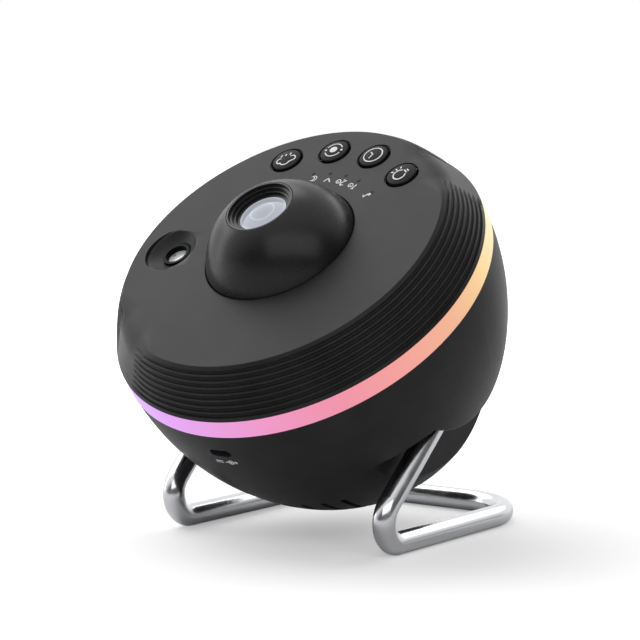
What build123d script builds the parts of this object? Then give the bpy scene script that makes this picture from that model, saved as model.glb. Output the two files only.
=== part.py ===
# Tilting star projector: a bowl-shaped head that swings on the two pins of a bent-rod stand.
# Row frame: +Z up, floor at Z = 0, tilt axis along X straight above the origin, front towards -Y.
# Head frame: origin on the beam axis at the light ring's lower edge, z along the beam.
# All sizes are in millimetres, all angles in degrees.
import os
from math import acos, asin, atan2, cos, degrees, pi, radians, sin, tan

from build123d import *

os.makedirs("parts", exist_ok=True)

# ---- stand ----
rod_diameter = 8.5
pivot_height = 60.4
base_front = 59.0
base_rear = 56.0
base_half_width = 48.8
pivot_half_width = 51.7
elbow_radius = 5.2
front_bend_radius = 9.0
rear_bend_radius = 27.0

# ---- how the head hangs ----
head_tilt = 39.8
pivot_drop = 42.1

# ---- outer shells, in the head frame ----
ring_radius = 75.0
ring_taper = 0.4
ring_proud = 0.2
band_height = 7.5
bowl_depth = 90.5
bowl_bottom_radius = 64.0
face_inset = 10.4
face_height = 25.0
wall = 2.2
wall_bulge = 0.9
groove_count = 8
groove_width = 1.2
groove_depth = 0.6
smooth_azimuths = (48.0, 228.0)
smooth_span = 22.0
smooth_proud = 0.5
smooth_corner = 10.0

# ---- side channels for the uprights ----
channel_inner = 44.2
channel_outer = 59.8
channel_headroom = 8.4
channel_lip = 0.8

# ---- lens dome and its sunk seat ----
dome_radius = 31.0
dome_centre = 15.7
dome_mouth_radius = 13.4
dome_wall = 1.8
dome_gap = 0.6
seat_depth = 3.0
seat_land = 3.4
seat_thickness = 2.2

# ---- projection lens and barrel ----
barrel_clearance = 0.25
barrel_wall = 1.2
barrel_step_drop = 1.1
barrel_step_in = 1.1
barrel_steps = 3
lens_radius = 10.0
lens_edge = 5.0
lens_crown = 1.6
retainer_height = 1.5
flange_thickness = 1.8
flange_overlap = 4.5
barrel_screw_inset = 2.0
barrel_screw_radius = 1.2
barrel_screw_head_radius = 2.2
barrel_screw_head_height = 1.4

# ---- control face ----
button_azimuths = {"button_lamp": 49.2, "button_clock": 72.0, "button_orbit": 93.9, "button_cloud": 116.6}
button_inset = 12.4
button_radius = 6.3
button_clearance = 0.3
button_proud = 1.1
button_crown = 0.7
button_travel = 0.6
button_flange = 1.2
button_flange_thickness = 1.7
well_margin = 0.7
well_depth = 0.5
stem_radius = 2.0
stem_length = 1.2
indicator_azimuths = (48.5, 64.8, 76.1, 87.6, 98.8)
indicator_inset = 12.8
indicator_radius = 0.75
slip_clearance = 0.05

# ---- key board under the buttons ----
board_thickness = 1.6
key_board_top = 15.1
key_board_margin = 2.3
key_board_rim = 6.8
key_board_start = 41.0
key_board_end = 126.0
standoff_azimuths = (60.6, 83.0, 105.2)
standoff_inset = 6.7
standoff_radius = 2.2
switch_side = 6.0
switch_height = 3.2
plunger_radius = 1.6

# ---- laser recess ----
laser_azimuth = 186.4
recess_radius = 11.8
recess_depth = 3.5
recess_edge = 3.0
bezel_radius = 5.6
bezel_wall = 1.2
bezel_proud = 1.0
bezel_length = 5.0
window_thickness = 1.2
window_sink = 1.4

# ---- laser drive ----
carrier_drop = 12.0
carrier_thickness = 2.0
laser_tube_radius = 5.0
laser_tube_length = 22.0
collar_wall = 1.0
collar_height = 4.8
grating_module = 0.6
grating_teeth = 30
pinion_teeth = 12
grating_motor_radius = 6.0
grating_motor_length = 12.0
carrier_post_radius = 2.0
carrier_post_ring = 12.2
carrier_post_angles = (60.0, 120.0)

# ---- nebula drive ----
wheel_module = 1.25
wheel_teeth = 48
wheel_offset = 19.0
wheel_bottom = 3.0
wheel_thickness = 3.4
spoke_thickness = 1.2
spoke_width = 2.5
spoke_count = 3
rim_width = 0.85
glass_thickness = 2.0
hub_radius = 5.0
shaft_radius = 1.5
clip_radius = 3.0
clip_thickness = 0.6
pinion_direction = -40.0
nebula_motor_radius = 9.5
nebula_motor_top = 0.5
motor_shaft_radius = 1.0
pressure_angle = 20.0
gear_backlash = 0.3

# ---- cradle, lamp and condenser ----
cradle_top = -20.0
cradle_thickness = 2.0
post_x = 37.0
post_y = 24.0
post_radius = 4.0
boss_height = 6.0
screw_radius = 1.5
screw_head_radius = 2.8
screw_head_height = 1.8
counterbore_radius = 3.1
screw_grip = 12.0
lamp_board_radius = 14.0
lamp_chip = 3.5
lamp_chip_pitch = 5.0
lamp_chip_height = 1.2
sink_boss_radius = 10.8
sink_side = 30.0
sink_base = 3.0
sink_height = 15.0
fin_count = 7
fin_thickness = 1.3
condenser_radius = 11.9
condenser_wall = 1.5
condenser_tube_height = 17.0
condenser_ledge = 6.5
condenser_edge = 1.6
condenser_crown = 3.4

# ---- light ring's board ----
ring_wall = 6.0
ring_flange = 2.0
ring_flange_width = 7.0
ring_led_count = 24
ring_led_size = 2.8

# ---- bowl fittings ----
vent_azimuths = (-90.0, 90.0)
vent_count = 7
vent_pitch = 8.0
vent_inner = 36.0
vent_outer = 61.0
vent_width = 2.2
grille_hole = 1.3
grille_pitch = 4.4
grille_rows = 5
port_drop = 9.4
port_width = 9.4
port_height = 3.6
socket_width = 8.9
socket_height = 3.1
socket_wall = 0.3
socket_tongue_width = 6.5
socket_tongue_height = 0.7
socket_depth = 7.3
shelf_half_width = 8.0
shelf_depth = 14.0
main_board_top = -48.4
main_board_x = 56.0
main_board_y = 44.0
board_post_x = 24.0
board_post_y = 18.0
board_post_radius = 2.5

# ---- speaker ----
speaker_radius = 20.0
speaker_lift = 10.5
speaker_height = 10.0
speaker_rim = 1.5
speaker_magnet_radius = 12.0
speaker_magnet_height = 8.0

# ---- pivots ----
pin_inner = 36.0
bush_radius = 6.5
bush_flange_radius = 8.0
bush_flange = 0.9
running_clearance = 0.06
pivot_washer_radius = 7.0
pivot_washer_thickness = 1.0
pivot_screw_radius = 1.9
pivot_screw_grip = 8.0
pivot_screw_head_radius = 3.8
pivot_screw_head_height = 2.4
face_gap = 0.1

# ---- planes and places ----
tilt = radians(head_tilt)
rod_radius = rod_diameter / 2
head = Plane(
    origin=(0, -pivot_drop * sin(tilt), pivot_height + pivot_drop * cos(tilt)),
    x_dir=(1, 0, 0),
    z_dir=(0, -sin(tilt), cos(tilt)),
)
head_axis = Axis(head.origin, head.z_dir)
section = Plane(origin=head.origin, x_dir=head.x_dir, z_dir=-head.y_dir)


def level(z):
    # the plane square to the beam at height z above the light ring's lower edge
    return head.offset(z)


def polar(radius, azimuth):
    return (radius * cos(radians(azimuth)), radius * sin(radians(azimuth)))


def outward(azimuth):
    return head.x_dir * cos(radians(azimuth)) + head.y_dir * sin(radians(azimuth))


def section_at(azimuth):
    # the half plane through the beam axis: local x outwards, local y up the beam
    return Plane(origin=head.origin, x_dir=outward(azimuth), z_dir=outward(azimuth - 90))


def upright_at(x, y):
    # a plane through a line parallel to the beam: local y runs up that line
    return Plane(origin=head.from_local_coords((x, y, 0)), x_dir=head.x_dir, z_dir=-head.y_dir)


def pivot_face(side, x):
    return Plane(origin=(side * x, 0, pivot_height), x_dir=(0, 1, 0), z_dir=(side, 0, 0))


def spot(x, y, z):
    # a place in the head frame that stands square to the beam
    return Location(Plane(origin=head.from_local_coords((x, y, z)), x_dir=head.x_dir, z_dir=head.z_dir))


def screw(x, y, seat, head_radius, head_height, shank_radius, grip):
    # a round-headed screw driven upwards: its head hangs below the seat, its shank stands above
    with Locations(spot(x, y, seat)):
        Cylinder(head_radius, head_height, align=(Align.CENTER, Align.CENTER, Align.MAX))
        Cylinder(shank_radius, grip, align=(Align.CENTER, Align.CENTER, Align.MIN))


def crown_middle(radius, foot, crown):
    # the halfway point of a round cap that is square to its own axis at the top
    sphere = (radius**2 + crown**2) / (2 * crown)
    return (radius / 2, foot + crown - sphere + (sphere**2 - radius**2 / 4) ** 0.5)


def bowl_profile(inset):
    # from the bowl's lowest point out to its widest: a tight arc runs into a slack one
    CenterArc((0, bottom_centre), bowl_bottom_radius - inset, -90, bowl_turn + 90)
    CenterArc((side_centre, 0), bowl_side_radius - inset, bowl_turn, -bowl_turn)


posts = [(sx * post_x, sy * post_y) for sx in (-1, 1) for sy in (-1, 1)]
bowl_radius = ring_radius - ring_proud
bottom_centre = bowl_bottom_radius - bowl_depth
bowl_flare = 2 * (bowl_radius - bowl_bottom_radius)
bowl_side_radius = (bowl_radius**2 + bottom_centre**2 - bowl_bottom_radius**2) / bowl_flare
side_centre = bowl_radius - bowl_side_radius
bowl_turn = degrees(atan2(bottom_centre, -side_centre))

face_radius = ring_radius - face_inset
plate_under = face_height - wall
seat_level = face_height - seat_depth
ledge_under = seat_level - seat_thickness
dome_foot_radius = (dome_radius**2 - (seat_level - dome_centre) ** 2) ** 0.5
seat_radius = dome_foot_radius + dome_gap
seat_bore = dome_foot_radius - seat_land
flange_radius = seat_bore + flange_overlap
barrel_screw_ring = seat_bore + barrel_screw_inset
button_ring = face_radius - button_inset
indicator_ring = button_ring - indicator_inset
standoff_ring = button_ring - standoff_inset
key_board_inner = indicator_ring - key_board_margin
key_board_outer = button_ring + key_board_rim
channel_roof = channel_headroom - pivot_drop
speaker_seat = speaker_lift - bowl_depth
cradle_under = cradle_top - cradle_thickness
channel_mid = (channel_inner + channel_outer) / 2
channel_width = channel_outer - channel_inner
screw_seat = cradle_under - boss_height

# the laser stands halfway between the dome's seat and the face's rim
recess_x, recess_y = polar((seat_radius + face_radius) / 2, laser_azimuth)
laser = Plane(
    origin=head.from_local_coords((recess_x, recess_y, face_height - recess_depth)),
    x_dir=outward(laser_azimuth),
    z_dir=head.z_dir,
)
laser_axis = Axis(laser.origin, laser.z_dir)
laser_section = Plane(origin=laser.origin, x_dir=laser.x_dir, z_dir=-laser.y_dir)

wheel_x, wheel_y = 0.0, -wheel_offset
wheel_pitch_radius = wheel_module * wheel_teeth / 2
wheel_pinion_radius = wheel_module * pinion_teeth / 2
pinion_reach = wheel_pitch_radius + wheel_pinion_radius
pinion_dx, pinion_dy = polar(pinion_reach, pinion_direction)
pinion_x, pinion_y = wheel_x + pinion_dx, wheel_y + pinion_dy
grating_reach = grating_module * (grating_teeth + pinion_teeth) / 2
grating_direction = -90.0


def involute(angle):
    return tan(angle) - angle


def gear_outline(module, teeth, phase, addendum=0.9, dedendum=1.25, flank_points=4):
    # one closed outline of involute teeth; a tooth is centred on the angle phase
    pitch_radius = module * teeth / 2
    base_radius = pitch_radius * cos(radians(pressure_angle))
    root_radius = pitch_radius - dedendum * module
    tip_radius = pitch_radius + addendum * module
    half_tooth = pi / 2 / teeth - gear_backlash * module / 2 / pitch_radius / 2
    flank_start = max(base_radius, root_radius)
    flank = []
    for step in range(flank_points):
        radius = flank_start + (tip_radius - flank_start) * step / (flank_points - 1)
        swing = half_tooth + involute(radians(pressure_angle)) - involute(acos(base_radius / radius))
        flank.append((radius, swing))
    if root_radius < base_radius:
        flank.insert(0, (root_radius, flank[0][1]))
    points = []
    for tooth in range(teeth):
        centre = radians(phase) + 2 * pi * tooth / teeth
        points += [(r * cos(centre - swing), r * sin(centre - swing)) for r, swing in flank]
        points += [(r * cos(centre + swing), r * sin(centre + swing)) for r, swing in reversed(flank)]
    with BuildSketch() as outline:
        with BuildLine():
            Polyline(*points, close=True)
        make_face()
    return outline.sketch


def meshing_phase(direction, teeth):
    # the phase that puts a gap, not a tooth, on the line back to the driven gear
    return direction + 180 + 180 / teeth


# ---- stand ----
rod_corners = [
    (pin_inner, 0, pivot_height),
    (pivot_half_width, 0, pivot_height),
    (base_half_width, -base_front, rod_radius),
    (base_half_width, base_rear, rod_radius),
]
rod_corners += [(-x, y, z) for x, y, z in reversed(rod_corners)]
rod_bends = [elbow_radius, front_bend_radius, rear_bend_radius]

with BuildPart() as stand_frame:
    with BuildLine() as rod_path:
        FilletPolyline(*rod_corners, radius=rod_bends + rod_bends[::-1])
    with BuildSketch(pivot_face(1, pin_inner)):
        Circle(rod_radius)
    sweep(path=rod_path.line)
    for side in (-1, 1):
        with BuildSketch(pivot_face(side, pin_inner)):
            Circle(pivot_screw_radius + slip_clearance)
        extrude(amount=pivot_screw_grip + face_gap, mode=Mode.SUBTRACT)

# the washer turns with the rod and rubs on the bush's end: that friction holds the tilt
with BuildPart() as friction_washers:
    for side in (-1, 1):
        with BuildSketch(pivot_face(side, pin_inner)):
            Circle(pivot_washer_radius)
            Circle(pivot_screw_radius + slip_clearance, mode=Mode.SUBTRACT)
        extrude(amount=-pivot_washer_thickness)

with BuildPart() as pivot_screws:
    for side in (-1, 1):
        with BuildSketch(pivot_face(side, pin_inner - pivot_washer_thickness)):
            Circle(pivot_screw_radius)
        extrude(amount=pivot_washer_thickness + pivot_screw_grip)
        with BuildSketch(pivot_face(side, pin_inner - pivot_washer_thickness)):
            Circle(pivot_screw_head_radius)
        extrude(amount=-pivot_screw_head_height)

with BuildPart() as pivot_bushes:
    for side in (-1, 1):
        with BuildSketch(pivot_face(side, pin_inner + face_gap)):
            Circle(bush_radius)
        extrude(amount=channel_inner - pin_inner - face_gap)
        with BuildSketch(pivot_face(side, channel_inner)):
            Circle(bush_flange_radius)
        extrude(amount=bush_flange)
        with BuildSketch(pivot_face(side, pin_inner)):
            Circle(rod_radius + running_clearance)
        extrude(amount=channel_inner + bush_flange - pin_inner, mode=Mode.SUBTRACT)

# ---- lower bowl ----
# The bowl's inner space. What stands in it, such as the channel linings, the screw bosses and
# the board posts, is taken out here, so that it stays as solid when the space is cut.
with BuildPart() as bowl_space:
    with BuildSketch(section):
        with BuildLine():
            bowl_profile(wall)
            Polyline((bowl_radius - wall, 0), (0, 0), (0, wall - bowl_depth))
        make_face()
    revolve(axis=head_axis)
    for side in (-1, 1):
        with BuildSketch(level(channel_roof + wall)):
            with Locations((side * channel_mid, 0)):
                Rectangle(channel_width + 2 * wall, 2 * bowl_radius)
        extrude(amount=-bowl_depth, mode=Mode.SUBTRACT)
        with BuildSketch(pivot_face(side, pin_inner + face_gap)):
            Circle(bush_radius + wall)
        extrude(amount=channel_inner - pin_inner, mode=Mode.SUBTRACT)
    with BuildSketch(level(cradle_under)):
        with Locations(*posts):
            Circle(post_radius)
    extrude(amount=-bowl_depth, mode=Mode.SUBTRACT)
    with BuildSketch(level(main_board_top - board_thickness)):
        with GridLocations(2 * board_post_x, 2 * board_post_y, 2, 2):
            Circle(board_post_radius)
    extrude(amount=-bowl_depth, mode=Mode.SUBTRACT)
    with BuildSketch(level(speaker_seat)):
        Circle(speaker_radius + wall)
        Circle(speaker_radius - 2 * wall, mode=Mode.SUBTRACT)
    extrude(amount=-bowl_depth, mode=Mode.SUBTRACT)
    with BuildSketch(level(-port_drop - socket_height / 2 - board_thickness)):
        with Locations((0, -bowl_radius + shelf_depth / 2)):
            Rectangle(2 * shelf_half_width, shelf_depth)
    extrude(amount=-wall, mode=Mode.SUBTRACT)

with BuildPart() as lower_bowl:
    with BuildSketch(section):
        with BuildLine():
            bowl_profile(0)
            Polyline((bowl_radius, 0), (0, 0), (0, -bowl_depth))
        make_face()
    revolve(axis=head_axis)
    for side in (-1, 1):
        with BuildSketch(level(channel_roof)):
            with Locations((side * channel_mid, 0)):
                Rectangle(channel_width, 2 * bowl_radius)
        extrude(amount=-bowl_depth, mode=Mode.SUBTRACT)
    lip_edges = [
        edge
        for edge in lower_bowl.edges()
        if min(abs(abs(edge.center().X) - x) for x in (channel_inner, channel_outer)) < channel_lip / 10
        and edge.geom_type != GeomType.LINE
    ]
    fillet(lip_edges, radius=channel_lip)
    add(bowl_space.part, mode=Mode.SUBTRACT)
    for side in (-1, 1):
        with BuildSketch(pivot_face(side, pin_inner)):
            Circle(bush_radius + slip_clearance)
        extrude(amount=channel_inner + wall - pin_inner, mode=Mode.SUBTRACT)
    with BuildSketch(level(-bowl_depth)):
        with Locations(*posts):
            Circle(counterbore_radius)
    extrude(amount=bowl_depth + screw_seat, mode=Mode.SUBTRACT)
    with BuildSketch(level(screw_seat)):
        with Locations(*posts):
            Circle(screw_radius + slip_clearance)
    extrude(amount=cradle_under - screw_seat, mode=Mode.SUBTRACT)
    for middle in vent_azimuths:
        with BuildSketch(level(-bowl_depth)):
            with PolarLocations(
                radius=(vent_inner + vent_outer) / 2,
                count=vent_count,
                start_angle=middle - vent_pitch * (vent_count - 1) / 2,
                angular_range=vent_pitch * (vent_count - 1),
                endpoint=True,
            ):
                SlotOverall(vent_outer - vent_inner, vent_width)
        extrude(amount=bowl_depth + main_board_top, mode=Mode.SUBTRACT)
    with BuildSketch(level(-bowl_depth)):
        with GridLocations(grille_pitch, grille_pitch, grille_rows, grille_rows):
            Circle(grille_hole)
    extrude(amount=2 * wall, mode=Mode.SUBTRACT)
    with BuildSketch(section.offset(bowl_radius - 2 * wall)):
        with Locations((0, -port_drop)):
            SlotOverall(port_width, port_height)
    extrude(amount=3 * wall, mode=Mode.SUBTRACT)

with BuildPart() as housing_screws:
    for x, y in posts:
        screw(x, y, screw_seat, screw_head_radius, screw_head_height, screw_radius,
              cradle_top - screw_seat + screw_grip)

# ---- light ring ----
ring_inner = ring_radius - ring_wall
ring_flange_inner = ring_inner - ring_flange_width
with BuildPart() as light_ring:
    with BuildSketch(section):
        with BuildLine():
            Polyline(
                (ring_flange_inner, 0),
                (ring_radius, 0),
                (ring_radius - ring_taper, band_height),
                (ring_inner, band_height),
                (ring_inner, ring_flange),
                (ring_flange_inner, ring_flange),
                close=True,
            )
        make_face()
    revolve(axis=head_axis)

with BuildPart() as ring_light_board:
    with BuildSketch(level(ring_flange)):
        Circle(ring_inner - button_clearance)
        Circle(ring_flange_inner + button_clearance, mode=Mode.SUBTRACT)
    extrude(amount=board_thickness)

with BuildPart() as ring_leds:
    with BuildSketch(level(ring_flange + board_thickness)):
        with PolarLocations(radius=ring_inner - ring_led_size, count=ring_led_count):
            Rectangle(ring_led_size, ring_led_size)
    extrude(amount=ring_led_size)

# ---- upper housing ----
wall_foot = Vector(ring_radius - ring_taper, band_height)
wall_head = Vector(face_radius, face_height)
wall_line = wall_head - wall_foot
wall_normal = Vector(wall_line.Y, -wall_line.X).normalized()


def wall_point(share, inset=0.0):
    # a point on the bulged wall, as a share of the way up, pushed inwards by inset
    bulge = wall_bulge * 4 * share * (1 - share)
    return wall_foot + wall_line * share + wall_normal * (bulge - inset)


groove_half = groove_width / wall_line.length / 2
ribbed_outline = [wall_point(0)]
for groove in range(groove_count):
    middle = (groove + 1) / (groove_count + 1)
    ribbed_outline.append(wall_point(middle - groove_half))
    ribbed_outline.append(wall_point(middle, groove_depth))
    ribbed_outline.append(wall_point(middle + groove_half))
ribbed_outline.append(wall_point(1))

smooth_start = face_radius - smooth_corner
inner_foot = (wall_foot.X - wall, band_height)
inner_head = (face_radius - wall, plate_under)

# The laser recess is a shallow dish whose edge rolls over into the face. Below it stands a plain cup.
dish_slope = 2 * degrees(atan2(recess_depth, recess_radius))
dish_sphere = recess_radius / sin(radians(dish_slope)) - recess_edge
with BuildPart() as recess_space:
    with BuildSketch(laser_section):
        with BuildLine():
            dish = JernArc((0, 0), (1, 0), dish_sphere, dish_slope)
            JernArc(dish @ 1, dish % 1, recess_edge, -dish_slope)
            Line((recess_radius, recess_depth), (recess_radius, recess_depth + wall))
            Polyline((recess_radius, recess_depth + wall), (0, recess_depth + wall), (0, 0))
        make_face()
    revolve(axis=laser_axis)

with BuildPart() as upper_housing:
    with BuildSketch(section):
        with BuildLine():
            Polyline(
                *ribbed_outline,
                (seat_radius, face_height),
                (seat_radius, seat_level),
                (seat_bore, seat_level),
                (seat_bore, ledge_under),
                (seat_radius + wall, ledge_under),
                (seat_radius + wall, plate_under),
                inner_head,
                inner_foot,
                (wall_foot.X, wall_foot.Y),
            )
        make_face()
    revolve(axis=head_axis)
    for azimuth in smooth_azimuths:
        with BuildSketch(section_at(azimuth - smooth_span / 2)):
            with BuildLine():
                Polyline(*ribbed_outline, (smooth_start, face_height), (smooth_start, plate_under),
                         inner_head, inner_foot, (wall_foot.X, wall_foot.Y))
            make_face()
        revolve(axis=head_axis, revolution_arc=smooth_span, mode=Mode.SUBTRACT)
        with BuildSketch(section_at(azimuth - smooth_span / 2)) as smooth_section:
            with BuildLine():
                Line(inner_foot, (wall_foot.X, wall_foot.Y))
                ThreePointArc(wall_point(0), wall_point(0.5, -smooth_proud), wall_point(1))
                Polyline(wall_point(1), (smooth_start, face_height), (smooth_start, plate_under),
                         inner_head, inner_foot)
            make_face()
            fillet(smooth_section.vertices().group_by(Axis.Y)[-1].sort_by(Axis.X)[-1], radius=smooth_corner)
        revolve(axis=head_axis, revolution_arc=smooth_span)
    with BuildSketch(laser.offset(-wall)):
        Circle(recess_radius + wall)
    extrude(amount=recess_depth + wall / 2)
    with BuildSketch(level(cradle_top)):
        with Locations(*posts):
            Circle(post_radius)
    extrude(amount=plate_under - cradle_top)
    with BuildSketch(level(cradle_top)):
        with Locations(*posts):
            Circle(screw_radius + slip_clearance)
    extrude(amount=screw_grip + 2 * slip_clearance, mode=Mode.SUBTRACT)
    for azimuth in standoff_azimuths:
        with BuildSketch(level(key_board_top)):
            with Locations(polar(standoff_ring, azimuth)):
                Circle(standoff_radius)
                Circle(standoff_radius / 2 + slip_clearance, mode=Mode.SUBTRACT)
        extrude(amount=plate_under - key_board_top)
    with BuildSketch(laser.offset(-wall)):
        with Locations(*[polar(carrier_post_ring, angle) for angle in carrier_post_angles]):
            Circle(carrier_post_radius)
    extrude(amount=wall - carrier_drop)
    add(recess_space.part, mode=Mode.SUBTRACT)
    with BuildSketch(laser):
        Circle(bezel_radius + slip_clearance)
    extrude(amount=-carrier_drop, both=True, mode=Mode.SUBTRACT)
    with BuildSketch(level(plate_under - wall)):
        for azimuth in button_azimuths.values():
            with Locations(polar(button_ring, azimuth)):
                Circle(button_radius + button_clearance)
        for azimuth in indicator_azimuths:
            with Locations(polar(indicator_ring, azimuth)):
                Circle(indicator_radius + slip_clearance)
    extrude(amount=3 * wall, mode=Mode.SUBTRACT)
    with BuildSketch(level(face_height - well_depth)):
        for azimuth in button_azimuths.values():
            with Locations(polar(button_ring, azimuth)):
                Circle(button_radius + button_clearance + well_margin)
    extrude(amount=wall, mode=Mode.SUBTRACT)
    for step in range(3):
        with BuildSketch(level(ledge_under)):
            with Locations(polar(barrel_screw_ring, 120 * step)):
                Circle(barrel_screw_radius + slip_clearance)
        extrude(amount=seat_thickness - 4 * slip_clearance, mode=Mode.SUBTRACT)

# ---- lens dome, barrel and lens ----
def dome_turns(sphere):
    # where the ball's outline starts at the seat, and how far it turns up to the mouth
    foot_turn = degrees(asin((seat_level - dome_centre) / sphere))
    return (foot_turn, degrees(acos(dome_mouth_radius / sphere)) - foot_turn)


# The dome is a zone of a hollow ball centred on the beam axis, cut straight round its mouth.
dome_inner_radius = dome_radius - dome_wall
with BuildPart() as lens_dome:
    with BuildSketch(section):
        with BuildLine():
            outer = CenterArc((0, dome_centre), dome_radius, *dome_turns(dome_radius))
            inner = CenterArc((0, dome_centre), dome_inner_radius, *dome_turns(dome_inner_radius))
            Line(outer @ 0, inner @ 0)
            Line(outer @ 1, inner @ 1)
        make_face()
    revolve(axis=head_axis)

dome_top = dome_centre + (dome_radius**2 - dome_mouth_radius**2) ** 0.5
barrel_radius = dome_mouth_radius - barrel_clearance
mouth_outline = []
step_radius = barrel_radius - barrel_wall / 2
step_level = dome_top
for step in range(barrel_steps):
    mouth_outline.append((step_radius, step_level))
    step_level -= barrel_step_drop
    mouth_outline.append((step_radius, step_level))
    step_radius -= barrel_step_in
lens_top = step_level - barrel_step_drop / 2
mouth_outline += [(step_radius, step_level), (step_radius, lens_top)]
lens_bottom = lens_top - lens_edge
retainer_bottom = lens_bottom - retainer_height
flange_bottom = ledge_under - flange_thickness

with BuildPart() as lens_barrel:
    with BuildSketch(section):
        with BuildLine():
            Polyline(
                *mouth_outline,
                (lens_radius + slip_clearance, lens_top),
                (lens_radius + slip_clearance, retainer_bottom),
                (barrel_radius - barrel_wall, retainer_bottom),
                (barrel_radius - barrel_wall, flange_bottom),
                (flange_radius, flange_bottom),
                (flange_radius, ledge_under),
                (barrel_radius, ledge_under),
                (barrel_radius, dome_top),
                close=True,
            )
        make_face()
    revolve(axis=head_axis)
    with BuildSketch(level(flange_bottom)):
        with PolarLocations(radius=barrel_screw_ring, count=3):
            Circle(barrel_screw_radius + slip_clearance)
    extrude(amount=flange_thickness, mode=Mode.SUBTRACT)

with BuildPart() as projection_lens:
    with BuildSketch(section):
        with BuildLine():
            Polyline((0, lens_bottom), (lens_radius, lens_bottom), (lens_radius, lens_top),
                     (step_radius, lens_top))
            ThreePointArc((step_radius, lens_top), crown_middle(step_radius, lens_top, lens_crown),
                          (0, lens_top + lens_crown))
            Line((0, lens_top + lens_crown), (0, lens_bottom))
        make_face()
    revolve(axis=head_axis)

with BuildPart() as lens_retainer:
    with BuildSketch(level(retainer_bottom)):
        Circle(lens_radius)
        Circle(lens_radius - barrel_wall, mode=Mode.SUBTRACT)
    extrude(amount=retainer_height)

barrel_screw_grip = flange_thickness + seat_thickness - 8 * slip_clearance
with BuildPart() as barrel_screws:
    for step in range(3):
        screw(*polar(barrel_screw_ring, 120 * step), flange_bottom, barrel_screw_head_radius,
              barrel_screw_head_height, barrel_screw_radius, barrel_screw_grip)

# ---- buttons and key board ----
buttons = {}
flange_top = plate_under - button_clearance
flange_low = flange_top - button_flange_thickness
for name, azimuth in button_azimuths.items():
    with BuildPart() as button:
        with BuildSketch(upright_at(*polar(button_ring, azimuth))):
            with BuildLine():
                Polyline(
                    (0, face_height + button_proud + button_crown),
                    (0, flange_low - stem_length),
                    (stem_radius, flange_low - stem_length),
                    (stem_radius, flange_low),
                    (button_radius + button_flange, flange_low),
                    (button_radius + button_flange, flange_top),
                    (button_radius, flange_top),
                    (button_radius, face_height + button_proud),
                )
                ThreePointArc(
                    (button_radius, face_height + button_proud),
                    crown_middle(button_radius, face_height + button_proud, button_crown),
                    (0, face_height + button_proud + button_crown),
                )
            make_face()
        revolve(axis=Axis(head.from_local_coords((*polar(button_ring, azimuth), 0)), head.z_dir))
    buttons[name] = button

switch_top = flange_low - stem_length - button_travel - face_gap
with BuildPart() as key_board:
    with BuildSketch(level(key_board_top - board_thickness)):
        with BuildLine():
            CenterArc((0, 0), key_board_inner, key_board_start, key_board_end - key_board_start)
            Line(polar(key_board_inner, key_board_start), polar(key_board_outer, key_board_start))
            CenterArc((0, 0), key_board_outer, key_board_start, key_board_end - key_board_start)
            Line(polar(key_board_inner, key_board_end), polar(key_board_outer, key_board_end))
        make_face()
        for azimuth in standoff_azimuths:
            with Locations(polar(standoff_ring, azimuth)):
                Circle(standoff_radius / 2 + slip_clearance, mode=Mode.SUBTRACT)
    extrude(amount=board_thickness)

with BuildPart() as key_switches:
    for azimuth in button_azimuths.values():
        with BuildSketch(level(key_board_top)):
            with Locations(Location((*polar(button_ring, azimuth), 0), (0, 0, azimuth))):
                Rectangle(switch_side, switch_side)
        extrude(amount=switch_height)
        with BuildSketch(level(key_board_top)):
            with Locations(polar(button_ring, azimuth)):
                Circle(plunger_radius)
        extrude(amount=switch_top - key_board_top)

with BuildPart() as key_board_screws:
    for azimuth in standoff_azimuths:
        screw(*polar(standoff_ring, azimuth), key_board_top - board_thickness, standoff_radius,
              board_thickness, standoff_radius / 2, 3 * board_thickness)

with BuildPart() as indicator_pipes:
    with BuildSketch(level(key_board_top)):
        for azimuth in indicator_azimuths:
            with Locations(polar(indicator_ring, azimuth)):
                Circle(indicator_radius)
    extrude(amount=face_height - key_board_top)

# ---- laser and its grating drive ----
with BuildPart() as laser_bezel:
    with BuildSketch(laser.offset(bezel_proud)):
        Circle(bezel_radius)
    extrude(amount=-bezel_length - bezel_proud)
    with BuildSketch(laser.offset(bezel_proud)):
        Circle(bezel_radius - bezel_wall)
    extrude(amount=-window_sink - bezel_proud - window_thickness, mode=Mode.SUBTRACT)
    with BuildSketch(laser.offset(bezel_proud)):
        Circle(bezel_radius - 2 * bezel_wall)
    extrude(amount=-bezel_length - bezel_proud, mode=Mode.SUBTRACT)

with BuildPart() as laser_window:
    with BuildSketch(laser.offset(-window_sink)):
        Circle(bezel_radius - bezel_wall - slip_clearance)
    extrude(amount=-window_thickness)

collar_radius = laser_tube_radius + slip_clearance + collar_wall
collar_top = collar_height - carrier_drop
with BuildPart() as laser_carrier:
    with BuildSketch(laser.offset(-carrier_drop - carrier_thickness)):
        Circle(collar_radius + wall)
        with Locations(*[polar(carrier_post_ring, angle) for angle in carrier_post_angles]):
            Circle(carrier_post_radius)
        with Locations(polar(grating_reach, grating_direction)):
            Circle(grating_motor_radius)
        make_hull()
    extrude(amount=carrier_thickness)
    with BuildSketch(laser.offset(-carrier_drop)):
        Circle(collar_radius)
    extrude(amount=collar_height)
    with BuildSketch(laser.offset(-carrier_drop - carrier_thickness)):
        Circle(laser_tube_radius + slip_clearance)
        with Locations(polar(grating_reach, grating_direction)):
            Circle(motor_shaft_radius + running_clearance)
        with Locations(*[polar(carrier_post_ring, angle) for angle in carrier_post_angles]):
            Circle(carrier_post_radius / 2)
    extrude(amount=carrier_thickness + collar_height, mode=Mode.SUBTRACT)

with BuildPart() as laser_module:
    with BuildSketch(laser.offset(collar_top - face_gap)):
        Circle(laser_tube_radius)
        Circle(motor_shaft_radius, mode=Mode.SUBTRACT)
    extrude(amount=-laser_tube_length)

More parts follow.
